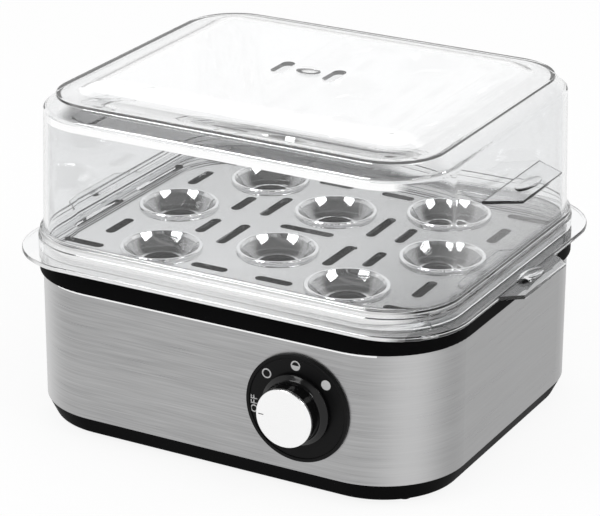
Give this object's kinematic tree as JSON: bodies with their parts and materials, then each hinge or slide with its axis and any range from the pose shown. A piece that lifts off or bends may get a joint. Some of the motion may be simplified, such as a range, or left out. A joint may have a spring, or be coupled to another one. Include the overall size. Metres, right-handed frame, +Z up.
{
  "type": "egg cooker",
  "caption": "Box-shaped egg steamer: steel-banded heated base with a turning dial, clear egg tray with cups and slots, and a clear domed lift-off lid with vents.",
  "frame": {"origin": "on the standing surface, under the centre of the whole object's footprint box", "axes": "+X to the right along the front, +Y to the back, +Z up"},
  "size_m": [0.262, 0.2168, 0.1786],
  "materials": {
    "brushed_steel": "fine grain along the band",
    "black_plastic": "satin moulding",
    "dial_plastic": "satin gloss moulding",
    "knob_plastic": "satin gloss moulding",
    "bright_cap": "bright plated",
    "clear_lid": "clear polished",
    "clear_tray": "clear polished",
    "pan_coating": "dark non-stick coating",
    "foot_rubber": "matte",
    "seal_rubber": "matte",
    "cast_alloy": "plain",
    "heater_steel": "heat-darkened",
    "zinc_steel": "zinc plated",
    "control_moulding": "brown moulding",
    "block_moulding": "plain moulding"
  },
  "bodies": {
    "casing": {"base_shell": "black_plastic", "steel_sleeve": "brushed_steel", "top_rim": "black_plastic", "rubber_feet": "foot_rubber", "base_screws": "zinc_steel", "water_pan": "pan_coating", "pan_gasket": "seal_rubber", "heater_plate": "cast_alloy", "heating_element": "heater_steel", "thermostat": "control_moulding", "thermal_fuse": "zinc_steel", "fuse_clip": "zinc_steel", "pan_studs": "zinc_steel", "clamp_bar": "zinc_steel", "clamp_nuts": "zinc_steel", "heat_shield": "cast_alloy", "dial_bezel": "dial_plastic", "control_switch": "control_moulding", "switch_bracket": "zinc_steel", "switch_nut": "zinc_steel", "cord_gland": "black_plastic", "terminal_block": "block_moulding"},
    "dial_knob": {"knob": "knob_plastic", "knob_cap": "bright_cap", "switch_shaft": "zinc_steel", "knob_spring": "zinc_steel"},
    "tray": {"egg_tray": "clear_tray"},
    "cover": {"lid": "clear_lid"}
  },
  "joints": [
    {"name": "knob_turn", "type": "hinge", "parent": "casing", "child": "dial_knob", "pos_m": [0.0488, -0.0936, 0.0455], "axis": [0, 1, 0], "range_deg": [0, 135]},
    {"name": "tray_lift", "type": "slide", "parent": "casing", "child": "tray", "axis": [0, 0, 1], "range_m": [0, 0.12]},
    {"name": "lid_lift", "type": "slide", "parent": "tray", "child": "cover", "axis": [0, 0, 1], "range_m": [0, 0.15]}
  ]
}
